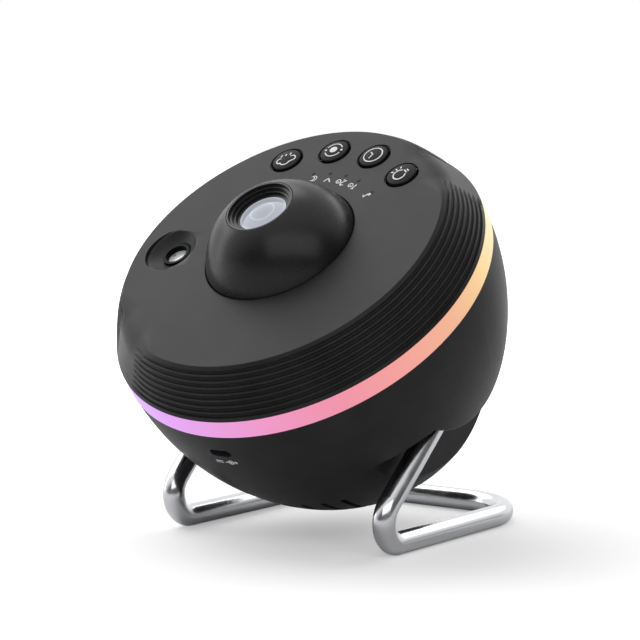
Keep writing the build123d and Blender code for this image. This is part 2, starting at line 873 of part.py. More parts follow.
grating_low = face_gap - carrier_drop
grating_high = collar_top + 2 * face_gap + spoke_thickness
with BuildPart() as grating_gear:
    with BuildSketch(laser.offset(grating_low)):
        add(gear_outline(grating_module, grating_teeth, grating_direction))
    extrude(amount=grating_high - grating_low)
    with BuildSketch(laser.offset(grating_low)):
        Circle(collar_radius + running_clearance)
    extrude(amount=collar_top + 2 * face_gap - grating_low, mode=Mode.SUBTRACT)
    with BuildSketch(laser.offset(grating_low)):
        Circle(collar_radius - 2 * collar_wall)
    extrude(amount=grating_high - grating_low, mode=Mode.SUBTRACT)

with BuildPart() as grating_film:
    with BuildSketch(laser.offset(grating_high)):
        Circle(collar_radius - collar_wall)
    extrude(amount=face_gap * 3)

with BuildPart() as grating_pinion:
    with BuildSketch(laser.offset(grating_low + face_gap)):
        with Locations(polar(grating_reach, grating_direction)):
            add(gear_outline(grating_module, pinion_teeth, meshing_phase(grating_direction, pinion_teeth)))
    extrude(amount=collar_height - 2 * face_gap)
    with BuildSketch(laser.offset(grating_low + face_gap)):
        with Locations(polar(grating_reach, grating_direction)):
            Circle(motor_shaft_radius)
    extrude(amount=-2 * carrier_thickness)

with BuildPart() as grating_motor:
    with BuildSketch(laser.offset(-carrier_drop - carrier_thickness)):
        with Locations(polar(grating_reach, grating_direction)):
            Circle(grating_motor_radius - slip_clearance)
    extrude(amount=-grating_motor_length)
    with BuildSketch(laser.offset(-carrier_drop - carrier_thickness)):
        with Locations(polar(grating_reach, grating_direction)):
            Circle(motor_shaft_radius + running_clearance)
    extrude(amount=-carrier_thickness - face_gap, mode=Mode.SUBTRACT)

# ---- cradle, lamp and condenser ----
shaft_foot = wheel_bottom - 2 * wheel_thickness
with BuildPart() as optics_cradle:
    with BuildSketch(level(cradle_under)):
        with Locations(*posts):
            Circle(post_radius)
        with Locations((pinion_x, pinion_y)):
            Circle(nebula_motor_radius)
        make_hull()
    extrude(amount=cradle_thickness)
    with BuildSketch(level(cradle_top)):
        with Locations((wheel_x, wheel_y)):
            Circle(hub_radius - 2 * collar_wall)
    extrude(amount=wheel_bottom - 2 * face_gap - cradle_top)
    with BuildSketch(level(shaft_foot)):
        with Locations((wheel_x, wheel_y)):
            Circle(shaft_radius + slip_clearance)
    extrude(amount=wheel_bottom - shaft_foot, mode=Mode.SUBTRACT)
    with BuildSketch(level(cradle_under)):
        Circle(sink_boss_radius + slip_clearance)
        with Locations(*posts):
            Circle(screw_radius + slip_clearance)
    extrude(amount=cradle_thickness, mode=Mode.SUBTRACT)

with BuildPart() as heat_sink:
    with BuildSketch(level(cradle_under)):
        Circle(sink_boss_radius)
    extrude(amount=cradle_thickness)
    with BuildSketch(level(cradle_under)):
        Rectangle(sink_side, sink_side)
    extrude(amount=-sink_base)
    with BuildSketch(level(cradle_under - sink_base)):
        with GridLocations((sink_side - fin_thickness) / (fin_count - 1), 0, fin_count, 1):
            Rectangle(fin_thickness, sink_side)
    extrude(amount=sink_base - sink_height)

lamp_board_top = cradle_top + board_thickness
with BuildPart() as lamp_board:
    with BuildSketch(level(cradle_top)):
        Circle(lamp_board_radius)
    extrude(amount=board_thickness)

with BuildPart() as lamp_leds:
    with BuildSketch(level(lamp_board_top)):
        with GridLocations(lamp_chip_pitch, lamp_chip_pitch, 2, 2):
            Rectangle(lamp_chip, lamp_chip)
    extrude(amount=lamp_chip_height)

condenser_seat = lamp_board_top + condenser_ledge
with BuildPart() as condenser_tube:
    with BuildSketch(level(lamp_board_top)):
        Circle(condenser_radius + condenser_wall)
        Circle(condenser_radius + slip_clearance, mode=Mode.SUBTRACT)
    extrude(amount=condenser_tube_height)
    with BuildSketch(level(condenser_seat - condenser_wall)):
        Circle(condenser_radius + condenser_wall)
        Circle(condenser_radius - condenser_wall, mode=Mode.SUBTRACT)
    extrude(amount=condenser_wall)

with BuildPart() as condenser_lens:
    with BuildSketch(section):
        with BuildLine():
            Polyline((0, condenser_seat), (condenser_radius, condenser_seat),
                     (condenser_radius, condenser_seat + condenser_edge))
            ThreePointArc(
                (condenser_radius, condenser_seat + condenser_edge),
                crown_middle(condenser_radius, condenser_seat + condenser_edge, condenser_crown),
                (0, condenser_seat + condenser_edge + condenser_crown),
            )
            Line((0, condenser_seat + condenser_edge + condenser_crown), (0, condenser_seat))
        make_face()
    revolve(axis=head_axis)

# ---- nebula wheel and its drive ----
glass_outer = wheel_pitch_radius - 1.25 * wheel_module - rim_width
wheel_plane = Plane(
    origin=head.from_local_coords((wheel_x, wheel_y, wheel_bottom)), x_dir=head.x_dir, z_dir=head.z_dir
)
with BuildPart() as nebula_gear:
    with BuildSketch(wheel_plane):
        add(gear_outline(wheel_module, wheel_teeth, pinion_direction))
        Circle(glass_outer + slip_clearance, mode=Mode.SUBTRACT)
        Circle(hub_radius)
    extrude(amount=wheel_thickness)
    with BuildSketch(wheel_plane):
        with PolarLocations(radius=(glass_outer + hub_radius) / 2, count=spoke_count):
            Rectangle(glass_outer - hub_radius + rim_width, spoke_width)
    extrude(amount=spoke_thickness)
    with BuildSketch(wheel_plane):
        Circle(shaft_radius + running_clearance)
    extrude(amount=wheel_thickness, mode=Mode.SUBTRACT)

with BuildPart() as nebula_glass:
    with BuildSketch(wheel_plane.offset(spoke_thickness)):
        Circle(glass_outer)
        Circle(hub_radius + slip_clearance, mode=Mode.SUBTRACT)
    extrude(amount=glass_thickness)

clip_low = wheel_bottom + wheel_thickness + face_gap
with BuildPart() as wheel_shaft:
    with BuildSketch(level(shaft_foot)):
        with Locations((wheel_x, wheel_y)):
            Circle(shaft_radius)
    extrude(amount=clip_low + 2 * clip_thickness - shaft_foot)

with BuildPart() as wheel_clip:
    with BuildSketch(level(clip_low)):
        with Locations((wheel_x, wheel_y)):
            Circle(clip_radius)
            Circle(shaft_radius + slip_clearance, mode=Mode.SUBTRACT)
    extrude(amount=clip_thickness)

pinion_plane = Plane(
    origin=head.from_local_coords((pinion_x, pinion_y, wheel_bottom)), x_dir=head.x_dir, z_dir=head.z_dir
)
with BuildPart() as nebula_pinion:
    with BuildSketch(pinion_plane):
        add(gear_outline(wheel_module, pinion_teeth, meshing_phase(pinion_direction, pinion_teeth)))
    extrude(amount=wheel_thickness)
    with BuildSketch(pinion_plane):
        Circle(motor_shaft_radius)
    extrude(amount=-2 * wheel_thickness)

with BuildPart() as nebula_motor:
    with BuildSketch(level(cradle_top)):
        with Locations((pinion_x, pinion_y)):
            Circle(nebula_motor_radius)
    extrude(amount=nebula_motor_top - cradle_top)
    with BuildSketch(level(nebula_motor_top)):
        with Locations((pinion_x, pinion_y)):
            Circle(motor_shaft_radius + running_clearance)
    extrude(amount=wheel_bottom - 2 * wheel_thickness - nebula_motor_top - face_gap, mode=Mode.SUBTRACT)

# ---- power inlet ----
with BuildPart() as port_board:
    with BuildSketch(level(-port_drop - socket_height / 2 - board_thickness)):
        with Locations((0, -bowl_radius + 2 * wall + shelf_depth / 2 - wall / 2)):
            Rectangle(2 * shelf_half_width - wall, shelf_depth - 2 * wall)
    extrude(amount=board_thickness)

with BuildPart() as power_socket:
    with BuildSketch(section.offset(bowl_radius - 1.5 * wall - socket_depth)):
        with Locations((0, -port_drop)):
            SlotOverall(socket_width, socket_height)
    extrude(amount=socket_depth)
    with BuildSketch(section.offset(bowl_radius - 1.5 * wall)):
        with Locations((0, -port_drop)):
            SlotOverall(socket_width - 2 * socket_wall, socket_height - 2 * socket_wall)
            SlotOverall(socket_tongue_width, socket_tongue_height, mode=Mode.SUBTRACT)
    extrude(amount=2 * wall - socket_depth, mode=Mode.SUBTRACT)

# ---- main board ----
with BuildPart() as main_board:
    with BuildSketch(level(main_board_top - board_thickness)):
        Rectangle(main_board_x, main_board_y)
    extrude(amount=board_thickness)

with BuildPart() as main_board_chips:
    with BuildSketch(level(main_board_top)):
        with GridLocations(main_board_x / 3, main_board_y / 3, 2, 2):
            Rectangle(main_board_x / 6, main_board_y / 5)
    extrude(amount=board_thickness)

# ---- speaker ----
basket_top = speaker_seat + speaker_height
with BuildPart() as speaker_basket:
    with BuildSketch(section):
        with BuildLine():
            Polyline(
                (speaker_radius, speaker_seat),
                (speaker_radius, speaker_seat + speaker_rim),
                (speaker_radius - speaker_rim, speaker_seat + speaker_rim),
                (speaker_magnet_radius, basket_top),
                (0, basket_top),
                (0, basket_top - speaker_rim),
                (speaker_magnet_radius - speaker_rim, basket_top - speaker_rim),
                (speaker_radius - 2 * speaker_rim, speaker_seat),
                close=True,
            )
        make_face()
    revolve(axis=head_axis)

with BuildPart() as speaker_cone:
    with BuildSketch(section):
        with BuildLine():
            Polyline(
                (speaker_radius - 2 * speaker_rim - slip_clearance, speaker_seat),
                (speaker_magnet_radius / 2, basket_top - 2 * speaker_rim),
                (0, basket_top - 2 * speaker_rim),
                (0, basket_top - 2.5 * speaker_rim),
                (speaker_magnet_radius / 2, basket_top - 2.5 * speaker_rim),
                (speaker_radius - 3 * speaker_rim, speaker_seat),
                close=True,
            )
        make_face()
    revolve(axis=head_axis)

with BuildPart() as speaker_magnet:
    with BuildSketch(level(basket_top)):
        Circle(speaker_magnet_radius)
    extrude(amount=speaker_magnet_height)

pieces = {
    "stand_frame": stand_frame,
    "friction_washers": friction_washers,
    "pivot_screws": pivot_screws,
    "pivot_bushes": pivot_bushes,
    "lower_bowl": lower_bowl,
    "housing_screws": housing_screws,
    "light_ring": light_ring,
    "ring_light_board": ring_light_board,
    "ring_leds": ring_leds,
    "upper_housing": upper_housing,
    "lens_dome": lens_dome,
    "lens_barrel": lens_barrel,
    "projection_lens": projection_lens,
    "lens_retainer": lens_retainer,
    "barrel_screws": barrel_screws,
    **buttons,
    "key_board": key_board,
    "key_switches": key_switches,
    "key_board_screws": key_board_screws,
    "indicator_pipes": indicator_pipes,
    "laser_bezel": laser_bezel,
    "laser_window": laser_window,
    "laser_carrier": laser_carrier,
    "laser_module": laser_module,
    "grating_gear": grating_gear,
    "grating_film": grating_film,
    "grating_pinion": grating_pinion,
    "grating_motor": grating_motor,
    "optics_cradle": optics_cradle,
    "heat_sink": heat_sink,
    "lamp_board": lamp_board,
    "lamp_leds": lamp_leds,
    "condenser_tube": condenser_tube,
    "condenser_lens": condenser_lens,
    "nebula_gear": nebula_gear,
    "nebula_glass": nebula_glass,
    "wheel_shaft": wheel_shaft,
    "wheel_clip": wheel_clip,
    "nebula_pinion": nebula_pinion,
    "nebula_motor": nebula_motor,
    "port_board": port_board,
    "power_socket": power_socket,
    "main_board": main_board,
    "main_board_chips": main_board_chips,
    "speaker_basket": speaker_basket,
    "speaker_cone": speaker_cone,
    "speaker_magnet": speaker_magnet,
}
for name, piece in pieces.items():
    piece.part.label = name
    export_step(piece.part, f"parts/{name}.step")
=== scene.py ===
import bpy
import bmesh
import math
from mathutils import Vector, Matrix


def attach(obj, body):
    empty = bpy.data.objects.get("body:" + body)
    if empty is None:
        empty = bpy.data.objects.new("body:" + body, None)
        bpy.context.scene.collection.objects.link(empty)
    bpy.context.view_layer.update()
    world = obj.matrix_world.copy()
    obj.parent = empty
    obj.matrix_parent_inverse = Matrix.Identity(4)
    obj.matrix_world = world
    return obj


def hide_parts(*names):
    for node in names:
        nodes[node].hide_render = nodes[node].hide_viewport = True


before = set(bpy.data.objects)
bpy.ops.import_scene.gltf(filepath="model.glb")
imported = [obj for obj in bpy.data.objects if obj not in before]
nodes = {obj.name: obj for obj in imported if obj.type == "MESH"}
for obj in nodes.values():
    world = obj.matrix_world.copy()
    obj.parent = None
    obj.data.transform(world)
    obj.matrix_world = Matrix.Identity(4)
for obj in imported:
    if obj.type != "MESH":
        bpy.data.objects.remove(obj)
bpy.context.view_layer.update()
scene = bpy.context.scene
scene.view_settings.view_transform = "Standard"
mm = 0.001
print("frame loaded:", len(nodes), "solids")


# small helpers

def hexToLinear(hexText):
    channels = [int(hexText[i:i + 2], 16) / 255 for i in (1, 3, 5)]
    linear = [c / 12.92 if c <= 0.04045 else ((c + 0.055) / 1.055) ** 2.4 for c in channels]
    return (*linear, 1.0)


def addNode(tree, kind, inputs=None, links=None, stops=(), **settings):
    # inputs: socket name or number to a value; links: socket name or number to another node's output;
    # stops: positions and hex colours of a colour ramp
    node = tree.nodes.new(kind)
    for name, value in settings.items():
        setattr(node, name, value)
    for socket, value in (inputs or {}).items():
        node.inputs[socket].default_value = value
    for socket, source in (links or {}).items():
        tree.links.new(source, node.inputs[socket])
    if stops:
        elements = node.color_ramp.elements
        while len(elements) < len(stops):
            elements.new(0.5)
        for element, (position, colour) in zip(elements, stops):
            element.position = position
            element.color = hexToLinear(colour)
    return node


def newMaterial(name, inputs):
    material = bpy.data.materials.new(name)
    material.use_nodes = True
    tree = material.node_tree
    tree.nodes.clear()
    shader = addNode(tree, "ShaderNodeBsdfPrincipled", inputs)
    addNode(tree, "ShaderNodeOutputMaterial", links={"Surface": shader.outputs[0]})
    return material, tree, shader


def clothe(material, *names):
    for name in names:
        slots = nodes[name].data.materials
        slots.clear()
        slots.append(material)


# where the head hangs

headPlace = {
    "tilt": math.radians(39.8),       # how far the beam leans forwards from upright
    "pivotHeight": 60.4 * mm,
    "pivotDrop": 42.1 * mm,           # from the light ring's lower edge down the beam to the tilt axis
    "faceHeight": 25.0 * mm,          # the control face, up the beam from the same edge
}
beamUp = Vector((0, -math.sin(headPlace["tilt"]), math.cos(headPlace["tilt"])))
headBack = Vector((0, math.cos(headPlace["tilt"]), math.sin(headPlace["tilt"])))
headSide = Vector((1, 0, 0))
headOrigin = Vector((0, 0, headPlace["pivotHeight"])) + beamUp * headPlace["pivotDrop"]


def headPoint(x, y, z):
    return headOrigin + headSide * x + headBack * y + beamUp * z


def headCoordinates(tree):
    # x and y across the face, z up the beam, for patterns that follow the head
    place = addNode(tree, "ShaderNodeTexCoord").outputs["Object"]
    return addNode(tree, "ShaderNodeMapping",
                   {"Location": headOrigin, "Rotation": (headPlace["tilt"], 0, 0)}, {"Vector": place},
                   vector_type="TEXTURE").outputs[0]


# camera

cameraPlace = {
    "azimuth": math.radians(36.2),    # 0 looks along +Y
    "elevation": math.radians(5.3),
    "distance": 828.5 * mm,
    "aim": Vector((5.16, -24.34, 82.5)) * mm,
    "lens": 123.75,
    "sensor": 36.0,
    "clip": (0.01, 20),               # metres from the camera
}


def makeCamera(place):
    data = bpy.data.cameras.new("camera")
    data.lens = place["lens"]
    data.sensor_width = place["sensor"]
    data.clip_start, data.clip_end = place["clip"]
    camera = bpy.data.objects.new("camera", data)
    look = Vector((-math.sin(place["azimuth"]) * math.cos(place["elevation"]),
                   math.cos(place["azimuth"]) * math.cos(place["elevation"]),
                   -math.sin(place["elevation"])))
    camera.location = place["aim"] - look * place["distance"]
    camera.rotation_euler = look.to_track_quat("-Z", "Y").to_euler()
    scene.collection.objects.link(camera)
    scene.camera = camera


makeCamera(cameraPlace)
print("camera set")


# floor and studio light

studio = {
    "floorColour": "#ececec",
    "floorSize": 12.0,
    "floorLift": 0.35,                # what the camera sees on top of the lit floor
    "floorReach": (0.10, 0.40),       # metres from the object over which the floor runs out to white
    "litSide": Vector((-0.90, 0.40, 0)),  # metal shows the floor's white on this side
    "litReach": (0.10, 0.60),         # metres over which that white comes in
    "litShare": 0.8,
    "roomColour": "#ffffff",
    "fill": 0.42,                     # how much of the surround lights the object
    "openSide": 0.12,                 # the room in front and right is darker than the walls behind and above
    "brightSide": Vector((-0.50, 0.40, 0.77)),
    "wallTurn": (-0.10, 0.40),        # over which the open side turns into the bright one, -1 to 1
}
softBoxes = {
    # place and what it faces in metres, width and height in metres, power in watts
    "key": {"place": (-0.72, 0.05, 1.10), "faces": (0, 0, 0.10), "size": (1.5, 1.5), "power": 12.9},
    "rear": {"place": (0.22, 1.08, 0.74), "faces": (0, 0, 0.09), "size": (0.8, 0.5), "power": 2.3},
    "left": {"place": (-1.14, -0.36, 0.34), "faces": (0, 0, 0.09), "size": (0.30, 0.55), "power": 0.9},
    "front": {"place": (0.72, -0.80, 0.68), "faces": (0, 0, 0.09), "size": (1.7, 0.65), "power": 4.8},
}


def makeFloor(values):
    mesh = bpy.data.meshes.new("floor")
    half = values["floorSize"] / 2
    mesh.from_pydata([(-half, -half, 0), (half, -half, 0), (half, half, 0), (-half, half, 0)], [],
                     [(0, 1, 2, 3)])
    floor = bpy.data.objects.new("floor", mesh)
    scene.collection.objects.link(floor)
    # matt painted board: it shows the shadow and runs out to white
    material = bpy.data.materials.new("mattPaintedBoard")
    material.use_nodes = True
    tree = material.node_tree
    tree.nodes.clear()
    place = addNode(tree, "ShaderNodeTexCoord").outputs["Object"]
    path = addNode(tree, "ShaderNodeLightPath")
    paint = addNode(tree, "ShaderNodeBsdfDiffuse", {"Color": hexToLinear(values["floorColour"])})
    away = addNode(tree, "ShaderNodeVectorMath", links={0: place}, operation="LENGTH")
    near, far = values["floorReach"]
    lift = addNode(tree, "ShaderNodeMapRange",
                   {"From Min": near, "From Max": far, "To Min": values["floorLift"], "To Max": 1.0},
                   {"Value": away.outputs["Value"]}, interpolation_type="SMOOTHSTEP")
    aside = addNode(tree, "ShaderNodeVectorMath", {1: values["litSide"]}, {0: place},
                    operation="DOT_PRODUCT")
    near, far = values["litReach"]
    sheen = addNode(tree, "ShaderNodeMapRange",
                    {"From Min": near, "From Max": far, "To Max": values["litShare"]},
                    {"Value": aside.outputs["Value"]}, interpolation_type="SMOOTHSTEP")
    mirrored = addNode(tree, "ShaderNodeMath", links={0: sheen.outputs[0], 1: path.outputs["Is Glossy Ray"]},
                       operation="MULTIPLY")
    seen = addNode(tree, "ShaderNodeMath",
                   links={0: lift.outputs[0], 1: path.outputs["Is Camera Ray"], 2: mirrored.outputs[0]},
                   operation="MULTIPLY_ADD")
    glow = addNode(tree, "ShaderNodeEmission", {"Color": hexToLinear(values["roomColour"])},
                   {"Strength": seen.outputs[0]})
    both = addNode(tree, "ShaderNodeAddShader", links={0: paint.outputs[0], 1: glow.outputs[0]})
    addNode(tree, "ShaderNodeOutputMaterial", links={"Surface": both.outputs[0]})
    mesh.materials.append(material)


def makeSurround(values):
    # white walls behind and above, open room in front: the camera sees white all round
    world = bpy.data.worlds.new("whiteStudio")
    world.use_nodes = True
    tree = world.node_tree
    tree.nodes.clear()
    direction = addNode(tree, "ShaderNodeTexCoord").outputs["Generated"]
    path = addNode(tree, "ShaderNodeLightPath")
    towards = addNode(tree, "ShaderNodeVectorMath", {1: values["brightSide"]}, {0: direction},
                      operation="DOT_PRODUCT")
    dark, bright = values["wallTurn"]
    wall = addNode(tree, "ShaderNodeMapRange",
                   {"From Min": dark, "From Max": bright, "To Min": values["openSide"], "To Max": 1.0},
                   {"Value": towards.outputs["Value"]}, interpolation_type="SMOOTHSTEP")
    mirrored = addNode(tree, "ShaderNodeMath",
                       links={0: path.outputs["Is Glossy Ray"], 1: path.outputs["Is Transmission Ray"]},
                       operation="MAXIMUM")
    share = addNode(tree, "ShaderNodeMapRange", {"To Min": values["fill"], "To Max": 1.0},
                    {"Value": mirrored.outputs[0]})
    around = addNode(tree, "ShaderNodeMath", links={0: wall.outputs[0], 1: share.outputs[0]},
                     operation="MULTIPLY")
    strength = addNode(tree, "ShaderNodeMath", links={0: around.outputs[0], 1: path.outputs["Is Camera Ray"]},
                       operation="MAXIMUM")
    background = addNode(tree, "ShaderNodeBackground", {"Color": hexToLinear(values["roomColour"])},
                         {"Strength": strength.outputs[0]})
    addNode(tree, "ShaderNodeOutputWorld", links={"Surface": background.outputs[0]})
    scene.world = world


def makeSoftBox(name, values):
    data = bpy.data.lights.new(name, "AREA")
    data.shape = "RECTANGLE"
    data.size, data.size_y = values["size"]
    data.energy = values["power"]
    box = bpy.data.objects.new(name, data)
    box.location = values["place"]
    beam = Vector(values["faces"]) - Vector(values["place"])
    box.rotation_euler = beam.to_track_quat("-Z", "Y").to_euler()
    scene.collection.objects.link(box)


makeFloor(studio)
makeSurround(studio)
for boxName, boxValues in softBoxes.items():
    makeSoftBox(boxName, boxValues)
print("studio lit")


# materials that show

softTouchAbs = {
    "colour": "#282829",
    "deepColour": "#222223",
    "cloudSize": 18 * mm,             # slow drift of the shade, from the flow of the melt
    "roughness": 0.42,
    "roughSpread": 0.05,
    "grainSize": 0.45 * mm,           # spark-eroded grain is nearer 0.1 mm; drawn coarser so that it shows
    "grainHeight": 0.012 * mm,
    "edgeRound": 0.15 * mm,
    "specular": 0.15,                 # a soft-touch lacquer shines less than bare ABS
}
# the dome's mould is polished: hardly any grain and a tighter highlight
polishedAbs = {**softTouchAbs, "colour": "#151516", "deepColour": "#121213", "roughness": 0.30,
               "grainHeight": 0.0012 * mm, "specular": 0.32}
# the bezel lies deep in its dish: its colour is darkened to near black as painted shade, with a faint shine
shadedBezelAbs = {**softTouchAbs, "colour": "#0d0d0e", "deepColour": "#0a0a0b", "roughness": 0.40,
            "grainHeight": 0.001 * mm, "specular": 0.06}


def mouldedAbs(name, values):
    # black ABS from a spark-eroded mould: a fine even grain that spreads the highlight
    material, tree, shader = newMaterial(name, {"IOR": 1.5, "Metallic": 0.0,
                                                "Specular IOR Level": values["specular"]})
    place = addNode(tree, "ShaderNodeTexCoord").outputs["Object"]
    cloud = addNode(tree, "ShaderNodeTexNoise", {"Scale": 1 / values["cloudSize"], "Detail": 2.0},
                    {"Vector": place})
    colour = addNode(tree, "ShaderNodeValToRGB", links={"Fac": cloud.outputs["Fac"]},
                     stops=[(0.35, values["deepColour"]), (0.65, values["colour"])])
    tree.links.new(colour.outputs[0], shader.inputs["Base Color"])
    grain = addNode(tree, "ShaderNodeTexNoise",
                    {"Scale": 1 / values["grainSize"], "Detail": 3.0, "Roughness": 0.6}, {"Vector": place})
    rough = addNode(tree, "ShaderNodeMapRange",
                    {"From Min": 0.3, "From Max": 0.7, "To Min": values["roughness"] - values["roughSpread"],
                     "To Max": values["roughness"] + values["roughSpread"]}, {"Value": grain.outputs["Fac"]})
    tree.links.new(rough.outputs[0], shader.inputs["Roughness"])
    rounded = addNode(tree, "ShaderNodeBevel", {"Radius": values["edgeRound"]}, samples=6)
    bump = addNode(tree, "ShaderNodeBump", {"Strength": 1.0, "Distance": values["grainHeight"]},
                   {"Height": grain.outputs["Fac"], "Normal": rounded.outputs[0]})
    tree.links.new(bump.outputs[0], shader.inputs["Normal"])
    return material


chromePlate = {
    "colour": "#d9dadd",
    "hazeSize": 7 * mm,               # patches where the plate is a little clearer or hazier
    "clearRoughness": 0.119,
    "hazyRoughness": 0.272,
    "drawLine": 0.35 * mm,            # faint lines left by drawing and polishing the rod
    "lineHeight": 0.002 * mm,
}


def chromePlatedRod(name, values):
    # polished steel rod with bright chrome plate: mirror-like, with a slight haze
    material, tree, shader = newMaterial(name, {"Base Color": hexToLinear(values["colour"]), "Metallic": 1.0})
    place = addNode(tree, "ShaderNodeTexCoord").outputs["Object"]
    haze = addNode(tree, "ShaderNodeTexNoise",
                   {"Scale": 1 / values["hazeSize"], "Detail": 4.0, "Roughness": 0.65}, {"Vector": place})
    rough = addNode(tree, "ShaderNodeMapRange",
                    {"From Min": 0.3, "From Max": 0.75, "To Min": values["clearRoughness"],
                     "To Max": values["hazyRoughness"]}, {"Value": haze.outputs["Fac"]})
    tree.links.new(rough.outputs[0], shader.inputs["Roughness"])
    lines = addNode(tree, "ShaderNodeTexNoise", {"Scale": 1 / values["drawLine"], "Detail": 2.0},
                    {"Vector": place})
    bump = addNode(tree, "ShaderNodeBump", {"Strength": 1.0, "Distance": values["lineHeight"]},
                   {"Height": lines.outputs["Fac"]})
    tree.links.new(bump.outputs[0], shader.inputs["Normal"])
    return material


litRing = {
    # colours round the ring by angle in degrees from the head's +X side, turning towards the back
    "colours": [(-180, "#b79cf0"), (-150, "#c3a6ee"), (-120, "#cc9fee"), (-105, "#dd9aef"), (-90, "#e69ce4"),
                (-70, "#ef95c5"), (-50, "#ef90a8"), (-30, "#f39d97"), (-10, "#f2b38f"), (10, "#f9d597"),
                (40, "#f0e7b6"), (75, "#cdeed2"), (110, "#a9e4e0"), (145, "#a5c4f2"), (180, "#b79cf0")],
    "glow": 0.77,                     # share of the colour that the LEDs behind give
    "body": 0.35,                     # share that the plastic shows in the room's light
    "roughness": 0.38,
    "edgeRound": 0.4 * mm,
}


def litPolycarbonate(name, values):
    # opal polycarbonate lit from inside: an even satin glow that runs through the colours
    material, tree, shader = newMaterial(name, {"IOR": 1.58, "Roughness": values["roughness"],
                                                "Emission Strength": values["glow"]})
    around = addNode(tree, "ShaderNodeTexGradient", links={"Vector": headCoordinates(tree)},
                     gradient_type="RADIAL")
    colour = addNode(tree, "ShaderNodeValToRGB", links={"Fac": around.outputs["Fac"]},
                     stops=[((angle + 180) / 360, shade) for angle, shade in values["colours"]])
    tree.links.new(colour.outputs[0], shader.inputs["Emission Color"])
    body = addNode(tree, "ShaderNodeHueSaturation", {"Value": values["body"]}, {"Color": colour.outputs[0]})
    tree.links.new(body.outputs[0], shader.inputs["Base Color"])
    rounded = addNode(tree, "ShaderNodeBevel", {"Radius": values["edgeRound"]}, samples=4)
    tree.links.new(rounded.outputs[0], shader.inputs["Normal"])
    return material


siliconeRubber = {
    "colour": "#151516",
    "roughness": 0.5,
    "roughSpread": 0.06,
    "specular": 0.12,                 # the powdery skin swallows most of the shine
    "grainSize": 0.5 * mm,
    "grainHeight": 0.01 * mm,
}


def mouldedSilicone(name, values):
    # compression-moulded silicone rubber: matt and slightly powdery, with hardly a highlight
    material, tree, shader = newMaterial(name, {"Base Color": hexToLinear(values["colour"]), "IOR": 1.43,
                                                "Specular IOR Level": values["specular"]})
    place = addNode(tree, "ShaderNodeTexCoord").outputs["Object"]
    grain = addNode(tree, "ShaderNodeTexNoise", {"Scale": 1 / values["grainSize"], "Detail": 2.0},
                    {"Vector": place})
    rough = addNode(tree, "ShaderNodeMapRange",
                    {"To Min": values["roughness"] - values["roughSpread"],
                     "To Max": values["roughness"] + values["roughSpread"]}, {"Value": grain.outputs["Fac"]})
    tree.links.new(rough.outputs[0], shader.inputs["Roughness"])
    bump = addNode(tree, "ShaderNodeBump", {"Strength": 1.0, "Distance": values["grainHeight"]},
                   {"Height": grain.outputs["Fac"]})
    tree.links.new(bump.outputs[0], shader.inputs["Normal"])
    return material


padInk = {
    "colour": "#f2f2f2",
    "thinColour": "#d6d6d6",          # where the film is thin and the black shows through
    "filmSize": 0.5 * mm,
    "roughness": 0.55,
}


def padPrintInk(name, values):
    # white pad-printing ink: a thin, flat, slightly uneven film
    material, tree, shader = newMaterial(name, {"IOR": 1.5, "Roughness": values["roughness"]})
    place = addNode(tree, "ShaderNodeTexCoord").outputs["Object"]
    film = addNode(tree, "ShaderNodeTexNoise", {"Scale": 1 / values["filmSize"], "Detail": 2.0},
                   {"Vector": place})
    colour = addNode(tree, "ShaderNodeValToRGB", links={"Fac": film.outputs["Fac"]},
                     stops=[(0.3, values["thinColour"]), (0.7, values["colour"])])
    tree.links.new(colour.outputs[0], shader.inputs["Base Color"])
    return material


coatedLens = {
    # colours from the lens's axis out to its rim, 1 at the radius below; the pale band near 0.52 and the pale
    # rim are painted highlights
    "colours": [(0.10, "#b0b6c4"), (0.46, "#bdc3d1"), (0.52, "#dfe3ee"), (0.58, "#bec4d1"), (0.86, "#c5cbd9"),
                (0.97, "#e9ecf6")],
    "radius": 10 * mm,
    "swirlSize": 6 * mm,
    "swirl": 0.12,                    # how far the rings wander from true circles
    "glow": 0.62,
    "body": 0.06,
    "roughness": 0.06,
    "specular": 0.25,
    "coat": 0.15,
    "coatRoughness": 0.03,
}


def coatedLensGlass(name, values):
    # ground and polished glass with a bluish coating; its glow stands partly for the lamp behind it and partly
    # for a painted reflection, with pale rings and a bright rim as painted highlights
    material, tree, shader = newMaterial(name, {
        "IOR": 1.52, "Roughness": values["roughness"], "Specular IOR Level": values["specular"],
        "Coat Weight": values["coat"], "Coat Roughness": values["coatRoughness"],
        "Emission Strength": values["glow"]})
    place = headCoordinates(tree)
    flat = addNode(tree, "ShaderNodeMapping", {"Scale": (1 / values["radius"], 1 / values["radius"], 0)},
                   {"Vector": place})
    radius = addNode(tree, "ShaderNodeVectorMath", links={0: flat.outputs[0]}, operation="LENGTH")
    swirl = addNode(tree, "ShaderNodeTexNoise",
                    {"Scale": 1 / values["swirlSize"], "Detail": 2.0, "Distortion": 0.8}, {"Vector": place})
    uneven = addNode(tree, "ShaderNodeMath", {1: values["swirl"]},
                     {0: swirl.outputs["Fac"], 2: radius.outputs["Value"]}, operation="MULTIPLY_ADD")
    colour = addNode(tree, "ShaderNodeValToRGB", links={"Fac": uneven.outputs[0]}, stops=values["colours"])
    tree.links.new(colour.outputs[0], shader.inputs["Emission Color"])
    body = addNode(tree, "ShaderNodeHueSaturation", {"Value": values["body"]}, {"Color": colour.outputs[0]})
    tree.links.new(body.outputs[0], shader.inputs["Base Color"])
    return material


clearWindow = {
    # the pale colour is a painted glint, and the deep one is the grey it shades off to
    "colour": "#f0f3f8",
    "deepColour": "#8a8d93",
    "glintSize": 3 * mm,
    "roughness": 0.03,
    "coat": 0.8,
}


